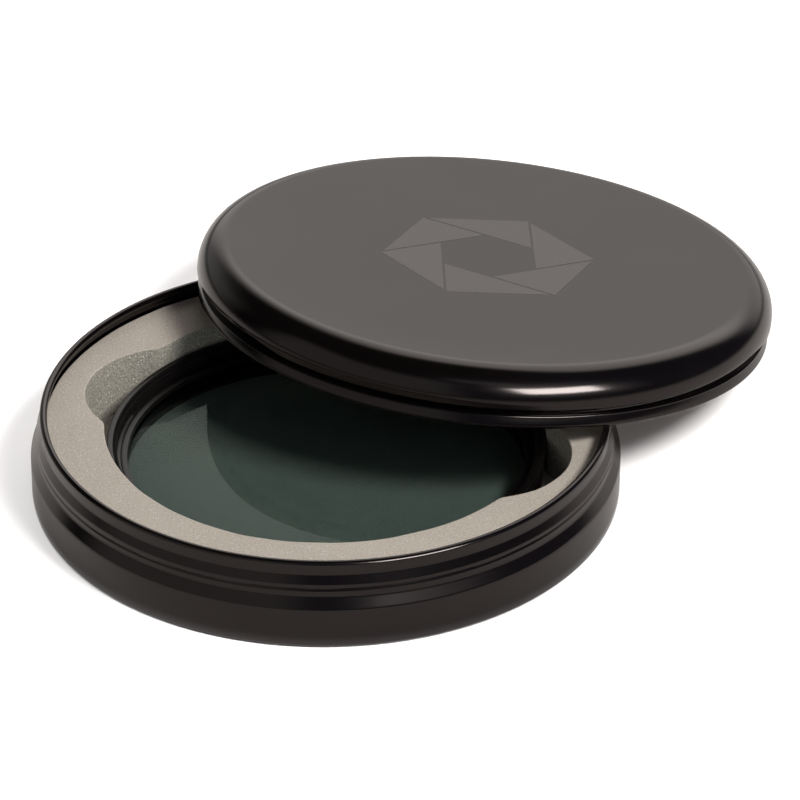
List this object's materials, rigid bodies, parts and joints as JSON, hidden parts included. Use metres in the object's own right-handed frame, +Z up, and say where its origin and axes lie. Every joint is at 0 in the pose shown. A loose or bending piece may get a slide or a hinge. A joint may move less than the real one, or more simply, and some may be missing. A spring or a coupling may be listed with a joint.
{
  "type": "circular polarising lens filter in a screw-top tin",
  "caption": "Round screw-in lens filter with a turning front ring, lying in the foam pocket of a flat aluminium tin whose screw lid leans on the rim.",
  "frame": {"origin": "middle of the flat underside of the tin, on the surface it stands on", "axes": "+Z up along the axis of the tin and the filter; the lid leans on the rim on the +X +Y side; the picture is taken from the -Y side, looking along +Y and down"},
  "size_m": [0.1385, 0.1503, 0.0301],
  "materials": {
    "black_tin": "satin",
    "black_ring": "satin",
    "foam": "matte",
    "filter_glass": "gloss",
    "clear_film": "gloss",
    "polarising_film": "gloss",
    "spring_steel": "satin",
    "tonal_print": "satin"
  },
  "bodies": {
    "tin": {"tin_body": "black_tin", "base_pad": "foam", "foam_insert": "foam"},
    "filter": {"rear_ring": "black_ring"},
    "front": {"front_ring": "black_ring", "snap_wire": "spring_steel", "retaining_ring": "black_ring", "lower_glass": "filter_glass", "quarter_wave_film": "clear_film", "polarising_film": "polarising_film", "upper_glass": "filter_glass"},
    "lid_liner": {"lid_pad": "foam"},
    "lid": {"lid_shell": "black_tin", "lid_emblem": "tonal_print"}
  },
  "joints": [
    {"name": "filter_lift", "type": "slide", "parent": "tin", "child": "filter", "axis": [0, 0, 1], "range_m": [0, 0.0075]},
    {"name": "front_ring_turn", "type": "hinge", "parent": "filter", "child": "front", "pos_m": [0, 0, 0.0075], "axis": [0, 0, 1], "continuous": true},
    {"name": "lid_lift", "type": "slide", "parent": "tin", "child": "lid_liner", "axis": [0, 0, 1], "range_m": [0, 0.1]},
    {"name": "lid_turn", "type": "hinge", "parent": "lid_liner", "child": "lid", "pos_m": [0.02986, 0.04171, 0.01245], "axis": [0.085, 0.1188, 0.9893], "continuous": true}
  ]
}
